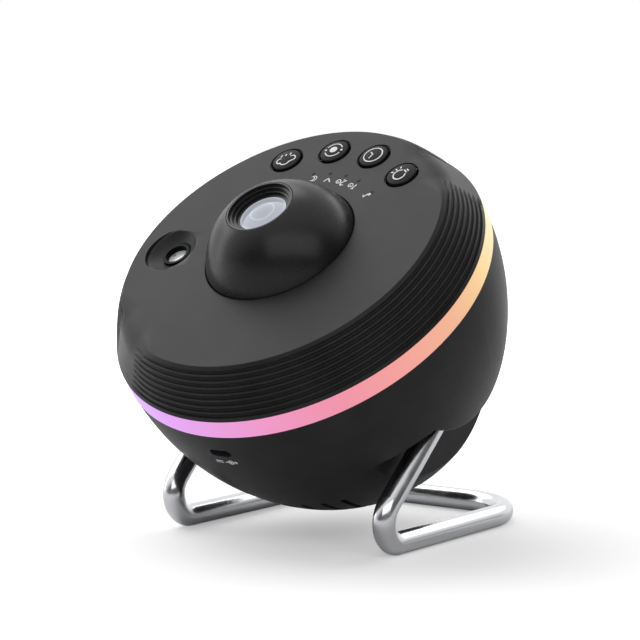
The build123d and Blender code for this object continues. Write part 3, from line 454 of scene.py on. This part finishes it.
def polishedWindow(name, values):
    # polished glass over the laser's tube: a painted glint in the base colour, pale in noise patches and
    # shading off to grey
    material, tree, shader = newMaterial(name, {"IOR": 1.52, "Roughness": values["roughness"],
                                                "Coat Weight": values["coat"]})
    place = addNode(tree, "ShaderNodeTexCoord").outputs["Object"]
    spot = addNode(tree, "ShaderNodeTexNoise", {"Scale": 1 / values["glintSize"]}, {"Vector": place})
    colour = addNode(tree, "ShaderNodeValToRGB", links={"Fac": spot.outputs["Fac"]},
                     stops=[(0.30, values["deepColour"]), (0.52, values["colour"])])
    tree.links.new(colour.outputs[0], shader.inputs["Base Color"])
    return material


housing = mouldedAbs("mouldedBlackAbs", softTouchAbs)
rubber = mouldedSilicone("mouldedSiliconeRubber", siliconeRubber)
ink = padPrintInk("whitePadPrint", padInk)
clothe(housing, "lower_bowl", "upper_housing")
clothe(mouldedAbs("finePolishedBlackAbs", polishedAbs), "lens_dome", "lens_barrel")
clothe(mouldedAbs("glossBlackAbs", shadedBezelAbs), "laser_bezel")
clothe(chromePlatedRod("brightChromePlate", chromePlate), "stand_frame")
clothe(litPolycarbonate("litOpalPolycarbonate", litRing), "light_ring")
clothe(rubber, "button_lamp", "button_clock", "button_orbit", "button_cloud")
clothe(coatedLensGlass("coatedLensGlass", coatedLens), "projection_lens")
clothe(polishedWindow("clearWindowGlass", clearWindow), "laser_window", "grating_film", "condenser_lens")


# materials of the inner pieces, and of the small ones that show little

def plainFinish(name, low, high, roughness, metallic=0.0, ior=1.5, grain=2.0):
    # two close shades over a small grain, in mm
    material, tree, shader = newMaterial(name, {"Metallic": metallic, "IOR": ior, "Roughness": roughness})
    place = addNode(tree, "ShaderNodeTexCoord").outputs["Object"]
    noise = addNode(tree, "ShaderNodeTexNoise", {"Scale": 1 / (grain * mm), "Detail": 3.0}, {"Vector": place})
    colour = addNode(tree, "ShaderNodeValToRGB", links={"Fac": noise.outputs["Fac"]},
                     stops=[(0.35, low), (0.65, high)])
    tree.links.new(colour.outputs[0], shader.inputs["Base Color"])
    return material


# cool grey metal with the cloudy look of thin plating
clothe(plainFinish("zincPlatedSteel", "#a8a9ac", "#c2c3c6", 0.32, metallic=1.0),
       "pivot_screws", "housing_screws", "barrel_screws", "key_board_screws", "wheel_shaft", "wheel_clip")
# milky off-white, silky from the cutter
clothe(plainFinish("machinedAcetal", "#d9d8d0", "#e6e5de", 0.4),
       "pivot_bushes", "laser_carrier", "grating_gear", "grating_pinion", "optics_cradle", "nebula_gear",
       "nebula_pinion")
# deep green lacquer with a wet shine
clothe(plainFinish("solderMaskedBoard", "#0d4a24", "#12602f", 0.3),
       "ring_light_board", "key_board", "lamp_board", "port_board", "main_board")
# flat charcoal
clothe(plainFinish("mouldedEpoxyChip", "#161616", "#232323", 0.55),
       "lens_retainer", "key_switches", "condenser_tube", "main_board_chips")
# pale yellow under clear resin
clothe(plainFinish("ledPhosphor", "#e9df9c", "#f5efc4", 0.35), "ring_leds", "lamp_leds")
# light grey metal, satin from the die
clothe(plainFinish("extrudedAluminium", "#b9bbbf", "#cfd1d4", 0.35, metallic=1.0), "heat_sink")
# mid grey metal, smooth from drawing
clothe(plainFinish("drawnSteelCan", "#9b9ca0", "#b4b5b9", 0.3, metallic=1.0), "nebula_motor", "grating_motor")
# warm yellow metal, bright from the lathe
clothe(plainFinish("turnedBrass", "#b08c4a", "#c8a55e", 0.28, metallic=1.0), "laser_module")
# dark grey metal that glints in the inlet's bore
clothe(plainFinish("stampedNickelSteel", "#6f7074", "#8b8c90", 0.3, metallic=1.0, grain=1.0), "power_socket")
# black paint with an even half-gloss
clothe(plainFinish("paintedSteelBasket", "#262626", "#333333", 0.4), "speaker_basket")
# soft, fibrous black
clothe(plainFinish("pressedPaperCone", "#1b1b1b", "#2a2a2a", 0.85, grain=0.6), "speaker_cone")
# dark grey ceramic with a dull, stony surface
clothe(plainFinish("sinteredFerrite", "#2b2b2c", "#39393a", 0.6), "speaker_magnet")
# black, matt, slightly greasy
clothe(plainFinish("nitrileRubber", "#161616", "#202020", 0.7), "friction_washers")
# clear deep blue that runs into pale blue, glossy
clothe(plainFinish("rippledBlueGlass", "#2a3fb8", "#6fa0ee", 0.08), "nebula_glass")
# unlit pipes: near black, so they read as small dark dots in the face
clothe(plainFinish("smokedAcrylic", "#060606", "#0d0d0e", 0.5, ior=1.2, grain=0.5), "indicator_pipes")
print("materials made")


# ribbed housing: the wall's grooves fade out and its edge softens beside the two smooth patches

housingShape = {
    # radius and height in the head frame, in mm
    "foot": (74.6, 7.5),
    "head": (64.2, 25.0),
    "inner": [(72.4, 7.5), (62.4, 22.8)],
    "seat": [(33.15, 22.8), (33.15, 19.8), (26.95, 19.8), (26.95, 22.0), (30.95, 22.0), (30.95, 24.4),
             (29.95, 24.4)],          # a thin lip closes in on the dome's foot
    "faceRadii": (29.95, 30.05, 30.6, 38.0, 46.0, 53.0),
    "lipChamfer": 0.1,
    "bulge": 0.9,
    "smoothBulge": -0.2,
    "corner": 0.35,
    "smoothCorner": 15.0,
    "cornerSteps": 6,
    "grooves": 8,
    "grooveWidth": 1.50,
    "grooveDepth": 1.05,
    "ridgeCrown": 0.12,               # how far the ridge between two grooves is rounded up
    "grooveShares": (-1.0, -0.93, -0.8, -0.5, 0.0, 0.5, 0.8, 0.93, 1.0),  # points from edge to edge of a groove
    "ridgeShares": (0.3, 0.5, 0.7),   # and from one groove's edge to the next
    "cornerHold": 0.3,                # support rings this far off keep the bends tight
    "grooveHold": 0.25,
    "footHold": 0.2,
    "smoothAzimuths": (48.0, 228.0),  # middles of the two patches
    "grooveFade": (9.0, 14.5),        # degrees from a patch's middle over which the grooves come in
    "cornerFade": (6.0, 24.0),        # and over which the face's edge turns crisp
    "columns": 360,
}
faceCuts = {
    "buttonRing": 52.2,
    "buttonHole": 6.6,
    "buttonWell": 7.0,
    "wellDepth": 0.5,
    "indicatorRing": 39.4,
    "indicatorHole": 0.8,
    "indicatorAzimuths": (48.5, 64.8, 76.1, 87.6, 98.8),
    "indicatorSides": 24,
    "holeReach": (18, 27),            # heights between which the round cutters stand
    "recessRing": 47.78,
    "recessAzimuth": 186.4,
    "recessRadius": 11.8,
    "recessDepth": 4.2,
    "recessEdge": 2.0,
    "recessSteps": 8,
    "recessReach": (17, 30),
    "recessLift": 0.01,               # the lip ends just above the face, which keeps the cut clean
    "bezelHole": 5.65,
    "lean": 7.0,                      # the dish is deepest towards this azimuth and fades out opposite
    "leanAzimuth": 212.0,
    "cupRadius": 14.0,                # solid that is added below the face to hold the dish
    "cupDepth": (5.8, 1.1),
    "sides": 72,
    "sharpAngle": 80,
}
buttonAzimuths = {"lamp": 49.2, "clock": 72.0, "orbit": 93.9, "cloud": 116.6}


def smoothStep(value, low, high):
    share = min(1.0, max(0.0, (value - low) / (high - low)))
    return share * share * (3 - 2 * share)


def patchShare(azimuth, values, fade):
    # 1 in the middle of a smooth patch, 0 past its fade
    gaps = [abs((azimuth - middle + 180) % 360 - 180) for middle in values["smoothAzimuths"]]
    return 1 - smoothStep(min(gaps), *values[fade])


def housingSection(azimuth, values):
    # closed outline of the housing at one azimuth, from the lens seat out over the face and down the wall
    patch = patchShare(azimuth, values, "cornerFade")
    foot, head = Vector(values["foot"]), Vector(values["head"])
    length = (foot - head).length
    down = (foot - head) / length
    out = Vector((-down.y, down.x))
    turn = math.atan2(-down.y, down.x)
    radius = values["corner"] + (values["smoothCorner"] - values["corner"]) * patch
    bulge = values["bulge"] + (values["smoothBulge"] - values["bulge"]) * patch
    tangent = radius * math.tan(turn / 2)
    start = tangent - radius * math.sin(turn / 2)

    def swell(s):
        return 4 * bulge * (s / length) * (1 - s / length)

    # the face and the first half of the corner
    face = head.y
    section = [Vector((r, face)) for r in values["faceRadii"]]
    section[0].y -= values["lipChamfer"]
    section.append(Vector((head.x - tangent - values["cornerHold"], face)))
    for k in range(values["cornerSteps"]):
        angle = turn / 2 * k / values["cornerSteps"]
        raised = swell(start) * (math.sin(angle) / math.sin(turn / 2)) ** 2
        section.append(Vector((head.x - tangent + radius * math.sin(angle),
                               face - radius * (1 - math.cos(angle)))) + out * raised)

    # the wall: distance down it, and how deep the groove is there
    pitch = length / (values["grooves"] + 1)
    half = values["grooveWidth"] / 2
    ridge = pitch - 2 * half
    rows = [(0.0, 0.0), (pitch - half - values["grooveHold"], 0.0)]
    for k in range(values["grooves"]):
        middle = pitch * (k + 1)
        rows += [(middle + half * share, 1 - share ** 4) for share in values["grooveShares"]]
        if k < values["grooves"] - 1:
            rows += [(middle + half + share * ridge, -values["ridgeCrown"] * 4 * share * (1 - share))
                     for share in values["ridgeShares"]]
    rows += [(length - values["footHold"], 0.0), (length, 0.0)]
    depth = values["grooveDepth"] * (1 - patchShare(azimuth, values, "grooveFade"))
    for s, hollow in rows:
        along = start + s * (length - start) / length
        lost = radius - math.sqrt(radius ** 2 - (tangent - along) ** 2) if along < tangent else 0.0
        section.append(head + down * along + out * (swell(along) - depth * hollow - lost))
    section += [Vector(point) for point in values["inner"] + values["seat"]]
    return section


def turned(bm, section, sides, place):
    # closed solid: the section's points turned about its axis
    rings = []
    for radius, height in section:
        if radius == 0:
            rings.append([bm.verts.new(place(0, 0, height))])
            continue
        rings.append([bm.verts.new(place(radius * math.cos(a), radius * math.sin(a), height))
                      for a in (2 * math.pi * i / sides for i in range(sides))])
    for low, high in zip(rings, rings[1:]):
        for i in range(sides):
            j = (i + 1) % sides
            corners = [low[i % len(low)], low[j % len(low)], high[j % len(high)], high[i % len(high)]]
            bm.faces.new(list(dict.fromkeys(corners)))


def headAxis(ring, azimuth, lean=0.0, leanAzimuth=0.0):
    # places points round an axis at this spot of the control face, along the beam or leaning a little
    x, y = ring * math.cos(math.radians(azimuth)), ring * math.sin(math.radians(azimuth))
    level = headPlace["faceHeight"] / mm
    turn = Matrix.Rotation(math.radians(lean), 3, Vector((-math.sin(math.radians(leanAzimuth)),
                                                          math.cos(math.radians(leanAzimuth)), 0)))

    def place(u, v, z):
        spot = turn @ Vector((u, v, z - level))
        return headPoint((x + spot.x) * mm, (y + spot.y) * mm, (level + spot.z) * mm)
    return place


def meshObject(name, bm):
    bmesh.ops.recalc_face_normals(bm, faces=bm.faces)
    mesh = bpy.data.meshes.new(name)
    bm.to_mesh(mesh)
    bm.free()
    made = bpy.data.objects.new(name, mesh)
    scene.collection.objects.link(made)
    return made


def applyModifiers(piece, angle):
    # keeps what the modifiers make, smooth except over edges sharper than the angle
    graph = bpy.context.evaluated_depsgraph_get()
    mesh = bpy.data.meshes.new_from_object(piece.evaluated_get(graph))
    piece.modifiers.clear()
    piece.data = mesh
    mesh.polygons.foreach_set("use_smooth", [True] * len(mesh.polygons))
    mesh.set_sharp_from_angle(angle=math.radians(angle))


def makeShell(values):
    bm = bmesh.new()
    rings = []
    for i in range(values["columns"]):
        azimuth = 360 * i / values["columns"]
        a = math.radians(azimuth)
        rings.append([bm.verts.new(headPoint(p.x * math.cos(a) * mm, p.x * math.sin(a) * mm, p.y * mm))
                      for p in housingSection(azimuth, values)])
    for here, beside in zip(rings, rings[1:] + rings[:1]):
        for k in range(len(here)):
            m = (k + 1) % len(here)
            bm.faces.new((here[k], here[m], beside[m], beside[k]))
    return meshObject("housingShell", bm)


def makeCup(face, cuts):
    deep, shallow = (face - depth for depth in cuts["cupDepth"])
    bm = bmesh.new()
    turned(bm, [(0, deep), (cuts["cupRadius"], deep), (cuts["cupRadius"], shallow), (0, shallow)],
           cuts["sides"], headAxis(cuts["recessRing"], cuts["recessAzimuth"]))
    return meshObject("recessCup", bm)


def makeCutters(face, cuts):
    bm = bmesh.new()
    low, high = cuts["holeReach"]
    hole, well, small = cuts["buttonHole"], cuts["buttonWell"], cuts["indicatorHole"]
    floor = face - cuts["wellDepth"]
    for azimuth in buttonAzimuths.values():
        turned(bm, [(0, low), (hole, low), (hole, floor), (well, floor), (well, high), (0, high)],
               cuts["sides"], headAxis(cuts["buttonRing"], azimuth))
    for azimuth in cuts["indicatorAzimuths"]:
        turned(bm, [(0, low), (small, low), (small, high), (0, high)],
               cuts["indicatorSides"], headAxis(cuts["indicatorRing"], azimuth))

    # the laser's dish: part of a ball, then a lip that rolls out onto the face
    radius, depth, edge = cuts["recessRadius"], cuts["recessDepth"], cuts["recessEdge"]
    slope = 2 * math.atan2(depth, radius)
    ball = radius / math.sin(slope) - edge
    floor = face - depth + cuts["recessLift"]
    inner = math.asin(cuts["bezelHole"] / ball)
    low, high = cuts["recessReach"]
    steps = cuts["recessSteps"]
    dish = [(0, low), (cuts["bezelHole"], low)]
    for k in range(steps + 1):
        angle = inner + (slope - inner) * k / steps
        dish.append((ball * math.sin(angle), floor + ball * (1 - math.cos(angle))))
    for k in range(1, steps + 1):
        angle = slope * (1 - k / steps)
        dish.append((radius - edge * math.sin(angle), floor + depth - edge * (1 - math.cos(angle))))
    dish += [(radius, high), (0, high)]
    turned(bm, dish, 2 * cuts["sides"],
           headAxis(cuts["recessRing"], cuts["recessAzimuth"], cuts["lean"], cuts["leanAzimuth"]))
    return meshObject("faceCutters", bm)


def makeHousing(values, cuts):
    shell = makeShell(values)
    face = values["head"][1]
    tools = {"UNION": makeCup(face, cuts), "DIFFERENCE": makeCutters(face, cuts)}
    for work, tool in tools.items():
        modifier = shell.modifiers.new(work, "BOOLEAN")
        modifier.operation = work
        modifier.solver = "EXACT"
        modifier.object = tool
    applyModifiers(shell, cuts["sharpAngle"])
    for tool in tools.values():
        bpy.data.objects.remove(tool)
    shell.data.materials.clear()
    shell.data.materials.append(housing)
    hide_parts("upper_housing")
    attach(shell, "head")


makeHousing(housingShape, faceCuts)
print("housing made")


# silicone caps with a crowned top, nearly level with the face

buttonCap = {
    # in mm
    "radius": 5.85,
    "proud": 0.45,
    "crown": 0.7,
    "edge": 0.5,
    "edgeSteps": 6,
    "topRings": (4.6, 3.6, 2.4, 1.2),
    "foot": 20.4,                     # height of the flange's underside in the head frame
    "flangeRadius": 7.4,
    "flange": 1.2,
    "sides": 96,
    "sharpAngle": 40,
}


def capTop(radius, values):
    # the cap's top is part of a ball
    ball = (values["radius"] ** 2 + values["crown"] ** 2) / (2 * values["crown"])
    top = headPlace["faceHeight"] / mm + values["proud"] + values["crown"]
    return top - ball + math.sqrt(ball ** 2 - radius ** 2)


def makeCap(name, azimuth, values):
    side, edge, foot = values["radius"], values["edge"], values["foot"]
    section = [(0, foot), (values["flangeRadius"], foot), (values["flangeRadius"], foot + values["flange"]),
               (side, foot + values["flange"])]
    shoulder = capTop(side - edge, values)
    for k in range(values["edgeSteps"] + 1):
        angle = math.radians(90 * k / values["edgeSteps"])
        section.append((side - edge * (1 - math.cos(angle)), shoulder - edge * (1 - math.sin(angle))))
    section += [(radius, capTop(radius, values)) for radius in values["topRings"]]
    section.append((0, capTop(0, values)))
    bm = bmesh.new()
    turned(bm, section, values["sides"], headAxis(faceCuts["buttonRing"], azimuth))
    cap = meshObject(f"cap_{name}", bm)
    applyModifiers(cap, values["sharpAngle"])
    cap.data.materials.append(rubber)
    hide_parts(f"button_{name}")
    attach(cap, f"button_{name}_body")


for buttonName, buttonAzimuth in buttonAzimuths.items():
    makeCap(buttonName, buttonAzimuth, buttonCap)
print("caps made")


# white prints

inkFilm = {
    "above": 0.06 * mm,               # proud of the surface, so that the film is never lost in it
    "below": 0.05 * mm,
    "step": math.radians(9),          # how finely an arc is drawn
}


def arc(x, y, radius, start, end):
    count = max(2, int(abs(math.radians(end - start)) / inkFilm["step"]))
    angles = [math.radians(start + (end - start) * i / count) for i in range(count + 1)]
    return [(x + radius * math.cos(a), y + radius * math.sin(a)) for a in angles]


def addStroke(bm, points, width, place, closed=False):
    # a ribbon of ink along the points, with its underside just inside the surface
    above, below = inkFilm["above"], -inkFilm["below"]
    stations = []
    count = len(points)
    for i, point in enumerate(points):
        before = Vector(points[(i - 1) % count] if closed or i else point)
        after = Vector(points[(i + 1) % count] if closed or i < count - 1 else point)
        along = (after - before).normalized()
        side = Vector((-along.y, along.x)) * width / 2
        left, right = Vector(point) + side, Vector(point) - side
        stations.append([bm.verts.new(place(edge.x, edge.y, lift)) for edge, lift in (
            (left, above), (right, above), (right, below), (left, below))])
    ahead = stations[1:] + stations[:1] if closed else stations[1:]
    for a, b in zip(stations, ahead):
        for k in range(4):
            bm.faces.new((a[k], a[(k + 1) % 4], b[(k + 1) % 4], b[k]))
    if not closed:
        bm.faces.new(stations[0])
        bm.faces.new(stations[-1][::-1])


def addDot(bm, x, y, radius, place):
    rim = arc(x, y, radius, 0, 360)[:-1]
    top = [bm.verts.new(place(*p, inkFilm["above"])) for p in rim]
    low = [bm.verts.new(place(*p, -inkFilm["below"])) for p in rim]
    centre = bm.verts.new(place(x, y, inkFilm["above"]))
    for i in range(len(rim)):
        j = (i + 1) % len(rim)
        bm.faces.new((centre, top[i], top[j]))
        bm.faces.new((top[i], low[i], low[j], top[j]))
    bm.faces.new(low[::-1])


def inkPiece(name, body, place, strokes, dots=(), size=1.0):
    # strokes: points, width, whether the line closes; dots: x, y, radius; all in mm times the size
    bm = bmesh.new()
    scale = size * mm
    for points, width, closed in strokes:
        addStroke(bm, [(x * scale, y * scale) for x, y in points], width * scale, place, closed)
    for x, y, radius in dots:
        addDot(bm, x * scale, y * scale, radius * scale, place)
    piece = meshObject(name, bm)
    piece.data.materials.append(ink)
    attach(piece, body)


def facing(azimuth, ring, height):
    # a place on the control face whose up points in at the lens, as the prints are read from behind
    inward = Vector((-math.cos(azimuth), -math.sin(azimuth)))
    right = Vector((inward.y, -inward.x))
    centre = -inward * ring

    def place(u, v, lift):
        spot = centre + right * u + inward * v
        return headPoint(spot.x, spot.y, height(u, v) + lift)
    return place


def capHeight(u, v):
    return capTop(math.hypot(u, v) / mm, buttonCap) * mm


pen = 0.42
pictograms = {
    "clock": {"size": 1.16, "dots": [],
              "strokes": [(arc(0, 0, 3.3, 0, 360)[:-1], pen, True),
                          ([(0, 2.0), (0, 0), (1.5, -0.6)], pen, False)]},
    "orbit": {"size": 1.1, "dots": [(0, 0, 1.45), (3.2, 0, 0.45), (-3.2, 0, 0.45)],
              "strokes": [(arc(0, 0, 3.2, 25, 155), pen, False), (arc(0, 0, 3.2, 205, 335), pen, False)]},
    "cloud": {"size": 1.25, "dots": [],
              "strokes": [([(-2.1, -0.6), (2.1, -0.6)] + arc(2.1, 0.45, 1.05, -75, 55)
                           + arc(0.35, 1.2, 1.6, 15, 150) + arc(-2.0, 0.5, 1.15, 95, 255), pen, True),
                          ([(-1.3, -1.3), (-1.7, -2.3)], pen, False), ([(0.2, -1.3), (-0.2, -2.3)], pen, False),
                          ([(1.7, -1.3), (1.3, -2.3)], pen, False)]},
    "lamp": {"size": 1.28, "dots": [],
             "strokes": [(arc(-0.4, 0.7, 1.9, -55, 235), pen, False), ([(-1.2, -1.4), (0.4, -1.4)], pen, False),
                         ([(-1.0, -2.2), (0.2, -2.2)], pen, False), ([(2.0, 1.6), (2.9, 2.1)], pen, False),
                         ([(2.1, 0.4), (3.1, 0.4)], pen, False), ([(2.0, -0.8), (2.9, -1.3)], pen, False)]},
}
for buttonName, buttonAzimuth in buttonAzimuths.items():
    inkPiece(f"print_{buttonName}", f"button_{buttonName}_body",
             facing(math.radians(buttonAzimuth), faceCuts["buttonRing"] * mm, capHeight),
             **pictograms[buttonName])

finePen = 0.3
hourMark = [(arc(1.0, 0, 0.75, 0, 360)[:-1], finePen, True), ([(1.0, 0.45), (1.0, 0), (1.3, 0)], 0.26, False)]
faceMarks = {
    # place: ring radius in mm and azimuth
    "moon": {"place": (36.8, 97.4), "dots": [],
             "strokes": [(arc(0, 0, 1.05, 50, 310) + arc(0.62, 0, 0.86, 292, 68), finePen, True)]},
    "wave": {"place": (35.8, 86.4), "dots": [],
             "strokes": [([(-1.2 + 0.1 * i, 0.6 * math.sin(math.radians(15 * i + 90))) for i in range(25)],
                          pen, False)]},
    "two": {"place": (35.9, 75.5), "dots": [],
            "strokes": [(arc(-0.9, 0.5, 0.62, 165, -35) + [(-1.5, -1.1), (-0.25, -1.1)], pen, False)]
            + hourMark},
    "one": {"place": (36.1, 64.5), "dots": [],
            "strokes": [([(-1.15, 0.6), (-0.65, 1.1), (-0.65, -1.15)], pen, False)] + hourMark},
    "note": {"place": (37.0, 48.5), "dots": [(-0.22, -0.85, 0.5)],
             "strokes": [([(0.2, -0.8), (0.2, 1.15), (1.0, 0.6)], pen, False)]},
}
faceMarkSize = 1.3
for markName, mark in faceMarks.items():
    markRing, markAzimuth = mark["place"]
    inkPiece(f"mark_{markName}", "head",
             facing(math.radians(markAzimuth), markRing * mm, lambda u, v: headPlace["faceHeight"]),
             mark["strokes"], mark["dots"], faceMarkSize)

bowlShape = {
    # the bowl's side is an arc turned about the beam
    "sideCentre": -27.1 * mm,
    "sideRadius": 101.9 * mm,
    "markHeight": -14.6 * mm,         # just below the power inlet
}


def bowlFront(u, v, lift):
    z = bowlShape["markHeight"] + v
    radius = bowlShape["sideCentre"] + math.sqrt(bowlShape["sideRadius"] ** 2 - z ** 2)
    return headPoint(u, -math.sqrt(radius ** 2 - u ** 2) - lift, z)


# direct current sign, one long line over three short ones, and beside it the sign for a positive centre pin
currentSign = [([(-4.9, 0.45), (-1.7, 0.45)], pen, False), ([(-4.9, -0.45), (-4.1, -0.45)], pen, False),
               ([(-3.7, -0.45), (-2.9, -0.45)], pen, False), ([(-2.5, -0.45), (-1.7, -0.45)], pen, False)]
centreSign = [([(-0.4, 0), (0.7, 0)], pen, False), (arc(2.0, 0, 1.0, 0, 360)[:-1], pen, True),
              ([(3.4, 0), (4.9, 0)], pen, False), ([(4.15, -0.75), (4.15, 0.75)], pen, False)]
inkPiece("mark_direct_current", "head", bowlFront, currentSign + centreSign, [(2.0, 0, 0.42)])
print("prints laid")
